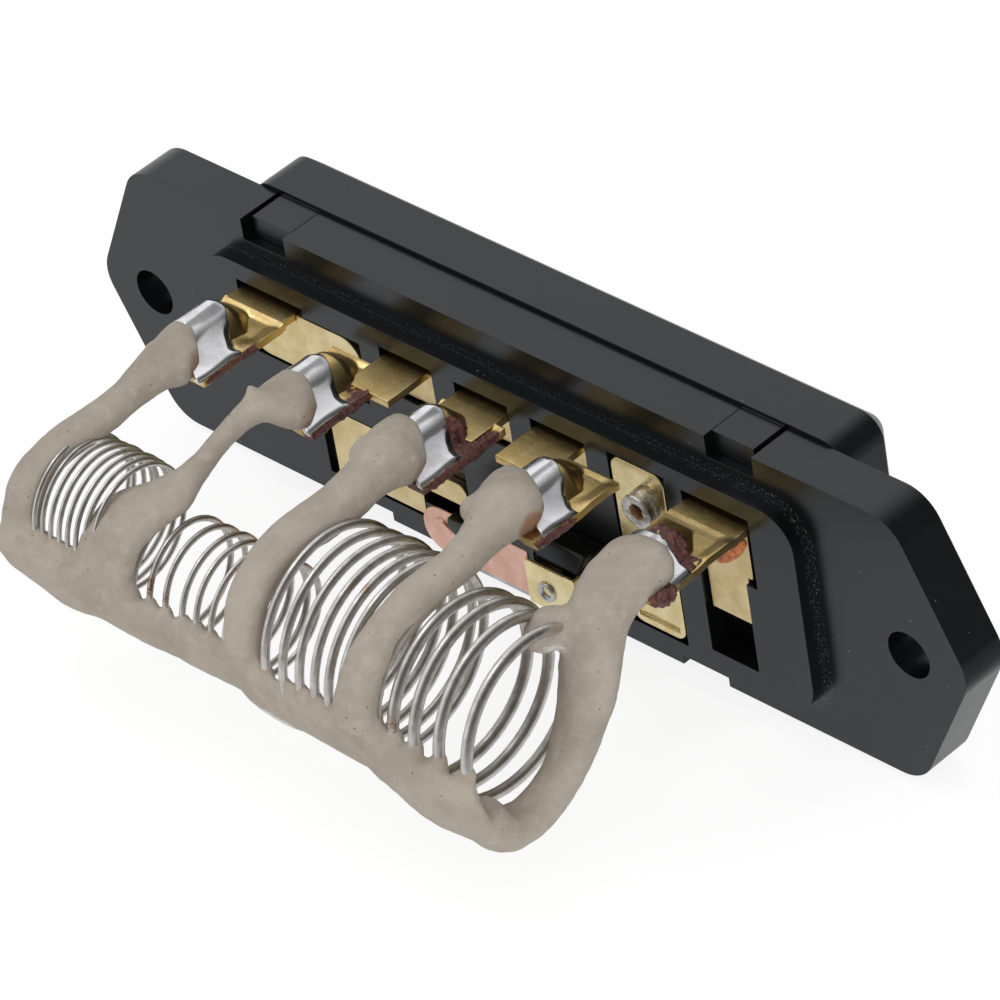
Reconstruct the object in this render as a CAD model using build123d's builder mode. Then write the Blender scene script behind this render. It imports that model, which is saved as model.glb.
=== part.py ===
import math
import os

from build123d import *

# A blower motor resistor: two black mouldings clipped together carry five brass terminals,
# and four wire coils between them stand in one frame of cement.
# X runs along the flange, -Y points at the coils, Z is up. The origin lies midway between
# the two mounting holes, on the front face of the flange. Millimetres.

os.makedirs("parts", exist_ok=True)

# Flange and its raised pad
hole_spacing = 95.0
hole_diameter = 4.8
ear_reach = 7.0
shoulder_inset = 0.2
flange_length = hole_spacing + 2 * ear_reach
shoulder_spacing = hole_spacing - 2 * shoulder_inset
flange_thickness = 4.95
flange_height = 29.1
ear_corner_radius = 4.0
pad_left = -37.3
pad_right = 36.6
pad_bottom = -11.55
pad_top = 10.65
pad_depth = 1.66
pad_corner_radius = 3.6
seat_gap = 0.25
contact_gap = 0.02

# Socket moulding behind the flange, with four arms that clip into notches
socket_left = -36.0
socket_right = 37.5
socket_rim = 0.45
socket_height = flange_height + 2 * socket_rim
socket_back = 11.4
socket_wall = 2.2
socket_corner_radius = 2.5
socket_edge_radius = 1.3
recess_floor = 3.0
recess_wall = 3.6
notch_depth = 2.3
notch_width = 5.6
upper_left_notch_x = -29.8
upper_right_notch_x = 28.4
lower_notch_x = 21.3
arm_front = 1.0
arm_gap = 0.6
arm_fit = 0.05

# Brass plates that lie in pockets of the pad
brass_thickness = 0.8
plate_recess = 0.06
plate_corner_radius = 1.2
upper_plate_left = -32.5
upper_plate_right = -17.1
upper_plate_bottom = 1.1
upper_plate_top = 7.55
lower_plate_left = -23.1
lower_plate_right = -11.7
lower_plate_bottom = -9.8
lower_plate_top = -2.2
lower_arm_right = -5.5
lower_arm_bottom = -6.5
lower_arm_top = -4.0
lower_pocket_left = -24.2
slot_bottom = -8.1
slot_top = -6.6
rivet_plate_left = 14.7
rivet_plate_right = 21.1
rivet_plate_bottom = -9.8
rivet_plate_top = 8.8
dish_depth = 0.35
dish_rim = 0.7
dish_height = 4.6
rivet_x = 19.1
rivet_z = 5.4
rivet_radius = 1.7
rivet_bore = 0.6
rivet_length = 1.9

# Terminals: a shelf out of each window, a jogged tab in front, a blade in the socket
shelf_top = 7.7
tab_pitch = 14.1
tab_width = 7.8
middle_tab_x = -0.8
base_x = (-29.0, -11.3, -1.2, 8.0, 27.4)
base_width = (7.4, 5.4, 6.4, 5.8, 7.6)
base_front = (-13.6, -6.3, -6.3, -6.5, -13.6)
tab_back = -3.1
tab_front = -13.6
upright_front = -1.2
upright_bottom = 3.9
step_z = 1.3
last_blade_z = -3.3
blade_width = 6.3
blade_end = 9.6
window_x = (-28.5, -10.85, -1.25, 8.3, 27.4)
window_width = (8.6, 6.7, 6.7, 6.7, 8.0)
window_top = 8.7
window_bottom = (6.8, 3.6, 3.6, 3.6, 1.0)
window_depth = 3.2
last_window_left = 24.4
last_window_right = 30.05
last_window_bottom = -9.0
last_upright_left = 24.8
last_upright_right = 29.9

# Thermal cut-out that stands in front of the pad
cutout_left = 6.4
cutout_right = 12.2
cutout_bottom = -9.6
cutout_top = -2.4
cutout_front = -5.4
leaf_thickness = 0.25
eyelet_plate_thickness = 0.4
eyelet_x = 8.9
eyelet_z = -6.3
eyelet_radius = 1.05
eyelet_bore = 0.45
eyelet_height = 0.35
eyelet_plate_bottom = -8.5
eyelet_plate_top = -3.6
fold_length = 2.6
block_chamfer = 1.2
leaf_z = -5.6
leaf_width = 5.0
leaf_tip_x = -7.0
leaf_lap = 3.0
steel_leaf_tip_x = -3.0
steel_leaf_drop = 0.7
dimple_radius = 1.3
dimple_height = 0.2
button_x = -1.6
button_z = -3.2
button_radius = 1.55
button_height = 1.0

# Coils, from left to right: centre, radius to the middle of the wire, and the wire
coil_y = (-26.6, -26.8, -25.2, -25.2)
coil_z = (0.5, -2.1, -0.1, -0.7)
coil_radius = (6.3, 5.65, 9.2, 9.0)
wire_diameter = (0.5, 0.6, 0.85, 1.1)
coil_start_x = (-30.6, -17.7, -0.4, 15.4)
coil_pitch = (1.1, 2.27, 2.5, 1.95)
coil_spread = (0.0, -0.045, -0.08, 0.19)
coil_whole_turns = (8, 7, 6, 4)
coil_end_angle = (-30, -30, -30, -60)
turn_segments = 14
lead_start_y = -7.2
lead_spacing = 1.5
solder_length = 6.6
solder_height = 1.1
solder_width = 6.4
solder_slope = 0.8
tab_count = 5
last_terminal = tab_count - 1
last_coil = last_terminal - 1
strand_corners = 8
strand_corner_angle = 360 / strand_corners
wire_corners = 6


def facing_front(y):
    """A drawing plane across Y at y: X to the right, Z up, extruded towards the coils."""
    return Plane.XZ.offset(-y)


def block(x0, x1, y0, y1, z0, z1, mode=Mode.ADD):
    """A block between the given faces, added to or cut from the part being built."""
    with Locations(((x0 + x1) / 2, (y0 + y1) / 2, (z0 + z1) / 2)):
        Box(x1 - x0, y1 - y0, z1 - z0, mode=mode)


def window(x0, x1, z0, z1, depth):
    """A straight-sided opening sunk into the pad's face."""
    block(x0, x1, -pad_depth, depth - pad_depth, z0, z1, mode=Mode.SUBTRACT)


def save(solid, name):
    """Labels a finished solid and writes its file."""
    solid.label = name
    export_step(solid, "parts/" + name + ".step")


# Flange with the raised pad, its windows and the pockets for the flat plates

tab_x = []
for index in range(tab_count):
    tab_x.append(middle_tab_x + (index - tab_count // 2) * tab_pitch)

blade_z = [shelf_top] * last_terminal + [last_blade_z]
half_height = flange_height / 2
pocket_depth = plate_recess + brass_thickness

with BuildPart() as flange:
    with BuildSketch(facing_front(flange_thickness)) as outline:
        with BuildLine():
            Polyline(
                (-flange_length / 2, 0),
                (-shoulder_spacing / 2, half_height),
                (shoulder_spacing / 2, half_height),
                (flange_length / 2, 0),
                (shoulder_spacing / 2, -half_height),
                (-shoulder_spacing / 2, -half_height),
                close=True,
            )
        make_face()
        fillet(outline.vertices(), ear_corner_radius)
        with Locations((-hole_spacing / 2, 0), (hole_spacing / 2, 0)):
            Circle(hole_diameter / 2, mode=Mode.SUBTRACT)
        upper_notch_z = half_height - notch_depth / 2
        with Locations((upper_left_notch_x, upper_notch_z), (upper_right_notch_x, upper_notch_z)):
            Rectangle(notch_width, notch_depth, mode=Mode.SUBTRACT)
        with Locations((-lower_notch_x, -upper_notch_z), (lower_notch_x, -upper_notch_z)):
            Rectangle(notch_width, notch_depth, mode=Mode.SUBTRACT)
    extrude(amount=flange_thickness)
    with BuildSketch(facing_front(0)) as pad:
        with Locations(((pad_left + pad_right) / 2, (pad_bottom + pad_top) / 2)):
            RectangleRounded(pad_right - pad_left, pad_top - pad_bottom, pad_corner_radius)
    extrude(amount=pad_depth)
    # Recess at the back that deepens the socket
    block(
        socket_left + recess_wall,
        socket_right - recess_wall,
        recess_floor,
        flange_thickness,
        -half_height + recess_wall,
        half_height - recess_wall,
        mode=Mode.SUBTRACT,
    )
    for left_x, width, bottom in zip(window_x, window_width, window_bottom):
        window(left_x - width / 2, left_x + width / 2, bottom, window_top, window_depth)
    window(last_window_left, last_window_right, last_window_bottom, window_top, window_depth)
    window(
        upper_plate_left - seat_gap,
        upper_plate_right + seat_gap,
        upper_plate_bottom - seat_gap,
        upper_plate_top + seat_gap,
        pocket_depth,
    )
    window(
        lower_pocket_left,
        lower_plate_right + seat_gap,
        lower_plate_bottom - seat_gap,
        lower_plate_top + seat_gap,
        pocket_depth,
    )
    window(
        lower_plate_right,
        lower_arm_right + seat_gap,
        slot_top,
        lower_plate_top + seat_gap,
        pocket_depth,
    )
    window(lower_plate_right, lower_arm_right + seat_gap, slot_bottom, slot_top, window_depth)
    window(
        rivet_plate_left - seat_gap,
        rivet_plate_right + seat_gap,
        rivet_plate_bottom - seat_gap,
        rivet_plate_top + seat_gap,
        pocket_depth,
    )
    # Slots that the terminals' blades pass through
    for centre_x, slot_z in zip(window_x, blade_z):
        block(
            centre_x - blade_width / 2 - contact_gap,
            centre_x + blade_width / 2 + contact_gap,
            0,
            recess_floor,
            slot_z - brass_thickness - contact_gap,
            slot_z + contact_gap,
            mode=Mode.SUBTRACT,
        )
save(flange.part, "flange_plate")


# Socket moulding: an open frame behind the flange with four snap arms

with BuildPart() as socket:
    with BuildSketch(facing_front(socket_back)):
        with Locations(((socket_left + socket_right) / 2, 0)):
            RectangleRounded(socket_right - socket_left, socket_height, socket_corner_radius)
    extrude(amount=socket_back - flange_thickness - contact_gap)
    chamfer(socket.faces().sort_by(Axis.Y)[-1].edges(), socket_edge_radius)
    block(
        socket_left + socket_wall,
        socket_right - socket_wall,
        0,
        socket_back,
        -socket_height / 2 + socket_wall,
        socket_height / 2 - socket_wall,
        mode=Mode.SUBTRACT,
    )
    arm_root = flange_thickness + socket_wall
    arm_inner = half_height - notch_depth + arm_fit
    for notch_x, side in (
        (upper_left_notch_x, 1),
        (upper_right_notch_x, 1),
        (-lower_notch_x, -1),
        (lower_notch_x, -1),
    ):
        inner_x = abs(notch_x) - notch_width / 2 + arm_fit
        outer_x = abs(notch_x) + notch_width / 2 - arm_gap
        with Locations(
            (
                math.copysign((inner_x + outer_x) / 2, notch_x),
                (arm_front + arm_root) / 2,
                side * (arm_inner + half_height) / 2,
            )
        ):
            Box(outer_x - inner_x, arm_root - arm_front, half_height - arm_inner)
save(socket.part, "rear_housing")


# Terminals

def terminal(index):
    """One folded strip: base shelf, jogged tab, blade, and the upright of the fold."""
    thickness = brass_thickness
    shelf_bottom = shelf_top - thickness
    middle = window_x[index]
    with BuildPart() as strip:
        left = base_x[index] - base_width[index] / 2
        right = base_x[index] + base_width[index] / 2
        block(left, right, base_front[index], upright_front + thickness, shelf_bottom, shelf_top)
        left = tab_x[index] - tab_width / 2
        right = tab_x[index] + tab_width / 2
        block(left, right, tab_front, tab_back, shelf_bottom, shelf_top)
        left = middle - blade_width / 2
        right = middle + blade_width / 2
        rear = upright_front + thickness
        if index == last_terminal:
            block(last_upright_left, right, upright_front, rear, step_z, shelf_top)
            blade_left = last_upright_left
            blade_right = last_upright_right
            blade_bottom = last_blade_z - thickness
            block(blade_left, blade_right, upright_front, rear, blade_bottom, shelf_top)
            block(blade_left, blade_right, upright_front, blade_end, blade_bottom, last_blade_z)
        else:
            block(left, right, upright_front, blade_end, shelf_bottom, shelf_top)
            if index > 0:
                block(left, right, upright_front, rear, upright_bottom, shelf_top)
    return strip.part


terminals = []
for index in range(tab_count):
    terminals.append(terminal(index))
    save(terminals[index], "terminal_" + str(index + 1))


# Flat brass plates in the pad's pockets

plate_front = -pad_depth + plate_recess

with BuildPart() as upper_plate:
    with BuildSketch(facing_front(plate_front + brass_thickness - contact_gap)) as face:
        with Locations(
            (
                (upper_plate_left + upper_plate_right) / 2,
                (upper_plate_bottom + upper_plate_top) / 2,
            )
        ):
            RectangleRounded(
                upper_plate_right - upper_plate_left,
                upper_plate_top - upper_plate_bottom,
                plate_corner_radius,
            )
    extrude(amount=brass_thickness - contact_gap)
    # Step under the first terminal's shelf
    block(
        upper_plate_left,
        base_x[0] + base_width[0] / 2 + seat_gap,
        -pad_depth,
        0,
        shelf_top - brass_thickness - contact_gap,
        upper_plate_top,
        mode=Mode.SUBTRACT,
    )
save(upper_plate.part, "link_plate_upper")

with BuildPart() as lower_plate:
    with BuildSketch(facing_front(plate_front + brass_thickness - contact_gap)) as face:
        arm_radius = (lower_arm_top - lower_arm_bottom) / 2
        with BuildLine():
            Polyline(
                (lower_plate_left, lower_plate_bottom),
                (lower_plate_right, lower_plate_bottom),
                (lower_plate_right, lower_arm_bottom),
                (lower_arm_right - arm_radius, lower_arm_bottom),
            )
            JernArc(
                (lower_arm_right - arm_radius, lower_arm_bottom),
                (1, 0),
                arm_radius,
                180,
            )
            Polyline(
                (lower_arm_right - arm_radius, lower_arm_top),
                (lower_plate_right, lower_arm_top),
                (lower_plate_right, lower_plate_top),
                (lower_plate_left + plate_corner_radius, lower_plate_top),
                (lower_plate_left, lower_plate_top - plate_corner_radius),
                (lower_plate_left, lower_plate_bottom),
            )
        make_face()
    extrude(amount=brass_thickness - contact_gap)
save(lower_plate.part, "link_plate_lower")

with BuildPart() as rivet_plate:
    with BuildSketch(facing_front(plate_front + brass_thickness - contact_gap)):
        with Locations(
            (
                (rivet_plate_left + rivet_plate_right) / 2,
                (rivet_plate_bottom + rivet_plate_top) / 2,
            )
        ):
            RectangleRounded(
                rivet_plate_right - rivet_plate_left,
                rivet_plate_top - rivet_plate_bottom,
                plate_corner_radius,
            )
    extrude(amount=brass_thickness - contact_gap)
    # Shallow dish with a rim at the lower end
    block(
        rivet_plate_left + dish_rim,
        rivet_plate_right - dish_rim,
        -pad_depth,
        plate_front + dish_depth,
        rivet_plate_bottom + dish_rim,
        rivet_plate_bottom + dish_rim + dish_height,
        mode=Mode.SUBTRACT,
    )
save(rivet_plate.part, "rivet_plate")

with BuildPart() as rivet:
    with BuildSketch(facing_front(plate_front - contact_gap)):
        with Locations((rivet_x, rivet_z)):
            Circle(rivet_radius)
            Circle(rivet_bore, mode=Mode.SUBTRACT)
    extrude(amount=rivet_length)
save(rivet.part, "hollow_rivet")


# Thermal cut-out: a block on the pad, a steel and a copper leaf, a folded plate and its eyelet

with BuildPart() as cutout:
    block(
        cutout_left,
        cutout_right,
        cutout_front,
        -pad_depth - contact_gap,
        cutout_bottom,
        cutout_top,
    )
    chamfer(cutout.faces().sort_by(Axis.Z)[-1].edges().sort_by(Axis.Y)[0], block_chamfer)
save(cutout.part, "cutout_block")


def leaf(x0, x1, z0, z1, back_y, thickness, tip_radius):
    """A flat spring leaf with a rounded free end on the left."""
    with BuildPart() as blade:
        with BuildSketch(facing_front(back_y)) as face:
            with Locations(((x0 + x1) / 2, (z0 + z1) / 2)):
                Rectangle(x1 - x0, z1 - z0)
            fillet(face.vertices().group_by(Axis.X)[0], tip_radius)
        extrude(amount=thickness)
    return blade.part


steel_back = cutout_front - contact_gap
steel_leaf = leaf(
    steel_leaf_tip_x,
    cutout_left + leaf_lap,
    leaf_z - leaf_width / 2 - steel_leaf_drop,
    leaf_z,
    steel_back,
    leaf_thickness,
    plate_corner_radius,
)
save(steel_leaf, "steel_leaf")

copper_back = steel_back - leaf_thickness - contact_gap
copper_leaf = leaf(
    leaf_tip_x,
    eyelet_x + eyelet_radius,
    leaf_z - leaf_width / 2,
    leaf_z + leaf_width / 2,
    copper_back,
    leaf_thickness,
    leaf_width / 2 - contact_gap,
)
with BuildPart() as copper:
    add(copper_leaf)
    with BuildSketch(facing_front(copper_back - leaf_thickness)):
        with Locations((leaf_tip_x + leaf_width / 2, leaf_z)):
            Circle(dimple_radius)
    extrude(amount=dimple_height)
save(copper.part, "copper_leaf")

eyelet_back = copper_back - leaf_thickness - contact_gap
with BuildPart() as eyelet_plate:
    fold_x = cutout_right + contact_gap
    front_y = eyelet_back - eyelet_plate_thickness
    block(cutout_left, fold_x, front_y, eyelet_back, eyelet_plate_bottom, eyelet_plate_top)
    block(
        fold_x,
        fold_x + eyelet_plate_thickness,
        front_y,
        cutout_front + fold_length,
        eyelet_plate_bottom,
        eyelet_plate_top,
    )
save(eyelet_plate.part, "eyelet_plate")

with BuildPart() as eyelet:
    with BuildSketch(facing_front(front_y - contact_gap)):
        with Locations((eyelet_x, eyelet_z)):
            Circle(eyelet_radius)
            Circle(eyelet_bore, mode=Mode.SUBTRACT)
    extrude(amount=eyelet_height)
save(eyelet.part, "eyelet")

with BuildPart() as button:
    with BuildSketch(facing_front(copper_back - leaf_thickness - contact_gap)):
        with Locations((button_x, button_z)):
            Circle(button_radius)
            with Locations((0, button_radius)):
                Rectangle(2 * button_radius, button_radius, mode=Mode.SUBTRACT)
    extrude(amount=button_height)
save(button.part, "contact_button")


# Cement strands: each runs from its tab, along the leads, round the coils' end turns.
# A point gives x, y, z, then the half width along X and the half thickness.

strand_paths = (
    (
        (-29.0, -10.2, 8.6, 2.7, 2.1),
        (-28.9, -15.5, 8.7, 2.0, 1.8),
        (-29.1, -19.6, 8.3, 1.3, 1.3),
        (-30.2, -23.0, 6.9, 1.5, 1.5),
        (-31.0, -27.0, 6.1, 1.7, 1.6),
        (-31.3, -30.4, 4.4, 1.7, 1.7),
        (-31.3, -32.2, 1.4, 1.8, 1.7),
        (-31.3, -32.8, -1.6, 2.0, 1.7),
    ),
    (
        (-14.9, -10.2, 8.8, 2.9, 2.2),
        (-15.3, -16.5, 9.0, 2.1, 1.8),
        (-16.8, -19.8, 7.6, 1.5, 1.5),
        (-17.8, -22.8, 5.6, 1.6, 1.5),
        (-19.2, -27.0, 4.7, 2.5, 1.8),
        (-20.0, -30.4, 3.3, 3.0, 1.9),
        (-20.2, -32.3, 0.8, 3.1, 1.9),
        (-20.2, -32.6, -1.8, 3.1, 1.9),
    ),
    (
        (-0.8, -10.2, 8.8, 2.9, 2.2),
        (-0.8, -16.5, 8.8, 2.2, 2.0),
        (-1.0, -20.5, 8.6, 2.1, 2.0),
        (-1.3, -24.7, 8.6, 2.0, 1.9),
        (-1.5, -28.4, 7.9, 2.1, 1.9),
        (-1.5, -31.5, 6.0, 2.2, 1.9),
        (-1.5, -33.0, 3.2, 2.3, 1.9),
        (-1.5, -33.4, 0.0, 2.4, 1.9),
    ),
    (
        (13.3, -10.2, 8.8, 2.9, 2.2),
        (13.5, -16.5, 9.1, 2.4, 2.1),
        (13.9, -20.7, 9.2, 1.9, 1.9),
        (14.2, -24.6, 8.9, 1.8, 1.9),
        (14.2, -28.6, 7.7, 1.8, 1.9),
        (14.2, -31.9, 5.9, 1.9, 1.9),
        (14.2, -34.0, 3.0, 2.0, 1.9),
        (14.2, -34.6, 0.2, 2.2, 1.9),
    ),
    (
        (27.4, -9.4, 8.8, 2.9, 2.2),
        (27.4, -14.0, 8.1, 2.8, 2.3),
        (27.7, -17.4, 6.3, 2.9, 2.2),
        (27.7, -19.0, 2.6, 3.0, 2.1),
        (27.5, -20.2, -1.6, 2.9, 2.1),
        (27.3, -23.0, -6.0, 2.7, 2.0),
        (27.3, -27.2, -8.0, 2.7, 2.0),
        (27.3, -31.4, -7.3, 2.7, 2.1),
    ),
)

# Cement spine under the coils: x, the centre it goes round, and its inner and outer radius
spine_stations = (
    (-33.2, -26.6, 0.5, 6.1, 8.4),
    (-21.6, -26.6, 0.5, 6.2, 8.8),
    (-17.6, -26.8, -2.1, 5.6, 7.1),
    (-3.8, -26.8, -2.1, 5.6, 7.1),
    (0.4, -25.2, -0.1, 9.1, 10.4),
    (12.8, -25.2, -0.1, 9.1, 10.5),
    (15.6, -25.2, -0.7, 8.9, 11.0),
    (27.0, -25.2, -0.7, 8.9, 11.3),
    (29.6, -25.2, -0.7, 8.9, 10.2),
)
spine_first_angle = 4
spine_last_angle = -66
spine_steps = 4


def strand(path):
    """A lumpy eight-sided strand through the path's points."""
    with BuildPart() as body:
        for index, (x, y, z, half_width, half_thickness) in enumerate(path):
            before = Vector(*path[max(index - 1, 0)][:3])
            after = Vector(*path[min(index + 1, len(path) - 1)][:3])
            corners = []
            for corner in range(strand_corners):
                angle = math.radians((corner + 0.5) * strand_corner_angle)
                corners.append((half_width * math.cos(angle), half_thickness * math.sin(angle)))
            with BuildSketch(Plane((x, y, z), x_dir=(1, 0, 0), z_dir=after - before)):
                Polygon(*corners, align=None)
        loft(ruled=True)
    return body.part


def arc_points(centre_y, centre_z, radius, first, last, steps):
    """Points (y, z) on an arc: 0 degrees is the front, 90 the top, -90 the bottom."""
    points = []
    for step in range(steps + 1):
        angle = math.radians(first + (last - first) * step / steps)
        points.append((centre_y - radius * math.cos(angle), centre_z + radius * math.sin(angle)))
    return points


with BuildPart() as spine:
    for x, centre_y, centre_z, inner, outer in spine_stations:
        shell = arc_points(
            centre_y, centre_z, outer, spine_first_angle, spine_last_angle, spine_steps
        )
        shell += arc_points(
            centre_y, centre_z, inner, spine_last_angle, spine_first_angle, spine_steps
        )
        with BuildSketch(Plane.YZ.offset(x)):
            Polygon(*shell, align=None)
    loft(ruled=True)


# Coils, each with a lead from its own tab and one to the next tab

def coil_path(index):
    """The wire's way: in along the first strand, round the turns, back along the next strand."""
    wire = wire_diameter[index]
    radius = coil_radius[index]
    centre_y = coil_y[index]
    centre_z = coil_z[index]
    lead_z = shelf_top + wire / 2 + contact_gap
    points = []
    start = strand_paths[index]
    shift = lead_spacing / 2
    points.append((tab_x[index] + shift, lead_start_y, lead_z))
    points.append((tab_x[index] + shift, start[1][1], lead_z))
    points.append((start[2][0] + shift, start[2][1], start[2][2]))
    sweep_angle = 360 * coil_whole_turns[index] + 90 - coil_end_angle[index]
    steps = round(sweep_angle / 360 * turn_segments)
    for step in range(steps + 1):
        angle = sweep_angle * step / steps
        turn = angle / 360
        x = coil_start_x[index] + coil_pitch[index] * turn + coil_spread[index] * turn**2
        angle = math.radians(90 - angle)
        points.append((x, centre_y - radius * math.cos(angle), centre_z + radius * math.sin(angle)))
    end = strand_paths[index + 1]
    back = 0 if index == last_coil else -shift
    way = reversed(end[2:7])
    for x, y, z, half_width, half_thickness in way:
        points.append((x + back, y, z))
    points.append((tab_x[index + 1] + back, end[1][1], lead_z))
    points.append((tab_x[index + 1] + back, lead_start_y, lead_z))
    return points


coils = []
for index in range(last_terminal):
    path = coil_path(index)
    with BuildPart() as coil:
        with BuildLine():
            Polyline(*path)
        with BuildSketch(Plane(path[0], z_dir=(0, -1, 0))):
            RegularPolygon(wire_diameter[index] / 2, wire_corners)
        sweep(transition=Transition.RIGHT)
    coils.append(coil.part)
    save(coil.part, "coil_" + str(index + 1))


# Solder that holds the leads on the tabs

solders = []
for index in range(tab_count):
    with BuildPart() as blob:
        for height, inset in ((contact_gap, 0), (solder_height, solder_slope)):
            with BuildSketch(Plane.XY.offset(shelf_top + height)):
                with Locations((tab_x[index], tab_front + solder_length / 2 + seat_gap)):
                    Rectangle(solder_width - 2 * inset, solder_length - 2 * inset)
        loft(ruled=True)
    solder = blob.part
    for coil in coils[max(index - 1, 0) : index + 1]:
        solder = solder - coil
    solders.append(solder)
    save(solder, "solder_" + str(index + 1))


# Cement coating, cast round the coils, leads and tabs

cement = spine.part
for path in strand_paths:
    cement = cement + strand(path)
for piece in coils + solders + terminals:
    cement = cement - piece
cement = max(cement.solids(), key=lambda solid: solid.volume)
save(cement, "cement_coating")
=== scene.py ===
import contextlib
import math

import bmesh
import bpy
import numpy as np
from mathutils import Matrix, Vector, noise


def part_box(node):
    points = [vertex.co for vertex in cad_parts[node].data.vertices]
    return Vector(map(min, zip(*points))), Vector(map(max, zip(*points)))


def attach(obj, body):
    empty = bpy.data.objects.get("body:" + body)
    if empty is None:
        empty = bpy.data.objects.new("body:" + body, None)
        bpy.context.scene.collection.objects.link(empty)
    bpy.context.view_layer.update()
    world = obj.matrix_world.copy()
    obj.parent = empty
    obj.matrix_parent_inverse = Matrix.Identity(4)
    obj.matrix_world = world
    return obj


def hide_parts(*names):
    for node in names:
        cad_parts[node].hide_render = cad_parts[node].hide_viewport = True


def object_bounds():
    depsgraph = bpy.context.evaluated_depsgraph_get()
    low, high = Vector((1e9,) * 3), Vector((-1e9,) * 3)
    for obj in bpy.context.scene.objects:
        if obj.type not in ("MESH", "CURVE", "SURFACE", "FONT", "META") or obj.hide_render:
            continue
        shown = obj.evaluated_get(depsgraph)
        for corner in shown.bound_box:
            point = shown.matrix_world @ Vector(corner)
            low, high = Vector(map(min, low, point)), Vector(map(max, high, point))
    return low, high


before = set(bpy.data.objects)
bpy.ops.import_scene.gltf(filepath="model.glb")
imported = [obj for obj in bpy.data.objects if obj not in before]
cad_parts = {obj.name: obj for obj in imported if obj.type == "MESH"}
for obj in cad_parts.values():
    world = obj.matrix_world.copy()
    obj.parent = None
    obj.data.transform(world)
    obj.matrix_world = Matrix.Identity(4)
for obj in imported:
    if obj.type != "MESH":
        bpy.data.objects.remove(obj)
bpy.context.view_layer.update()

# Looks of a blower motor resistor. Sizes below are in millimetres in the frame of the
# solids: X along the flange, -Y towards the coils, Z up. MM turns them into metres.

MM = 0.001


# Node trees

class Value:
    """A value in a node tree; sums and products of values add math nodes to the tree."""

    def __init__(self, tree, socket):
        self.tree = tree
        self.socket = socket

    def twin(self, output):
        """Another output of the same node."""
        return Value(self.tree, self.socket.node.outputs[output])

    def math(self, operation, *others):
        return add_node(self.tree, "ShaderNodeMath", (self, *others), operation=operation)

    def __add__(self, other):
        return self.math("ADD", other)

    def __sub__(self, other):
        return self.math("SUBTRACT", other)

    def __rsub__(self, other):
        return add_node(self.tree, "ShaderNodeMath", (other, self), operation="SUBTRACT")

    def __mul__(self, other):
        return self.math("MULTIPLY", other)

    def __abs__(self):
        return self.math("ABSOLUTE")

    __radd__ = __add__
    __rmul__ = __mul__

    def step(self, low, high):
        """0 below low, 1 above high, smooth between them."""
        inputs = {"Value": self, "From Min": low, "From Max": high}
        return add_node(self.tree, "ShaderNodeMapRange", inputs, interpolation_type="SMOOTHSTEP")

    def blend(self, first, second):
        """The first number where this value is 0, the second where it is 1."""
        return add_node(self.tree, "ShaderNodeMix", {0: self, 2: first, 3: second}, data_type="FLOAT")


def feed(tree, socket, value):
    """Links a tree's value to a socket, or stores a plain one in it."""
    if isinstance(value, Value):
        tree.links.new(value.socket, socket)
    elif socket.type == "RGBA":
        socket.default_value = (*value, 1)
    else:
        socket.default_value = value


def add_node(tree, kind, inputs=(), output=0, **settings):
    """A node with its settings and inputs, which are given in order or by name."""
    node = tree.nodes.new(kind)
    for key, value in settings.items():
        setattr(node, key, value)
    for key, value in inputs.items() if isinstance(inputs, dict) else enumerate(inputs):
        feed(tree, node.inputs[key], value)
    return Value(tree, node.outputs[output])


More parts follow.
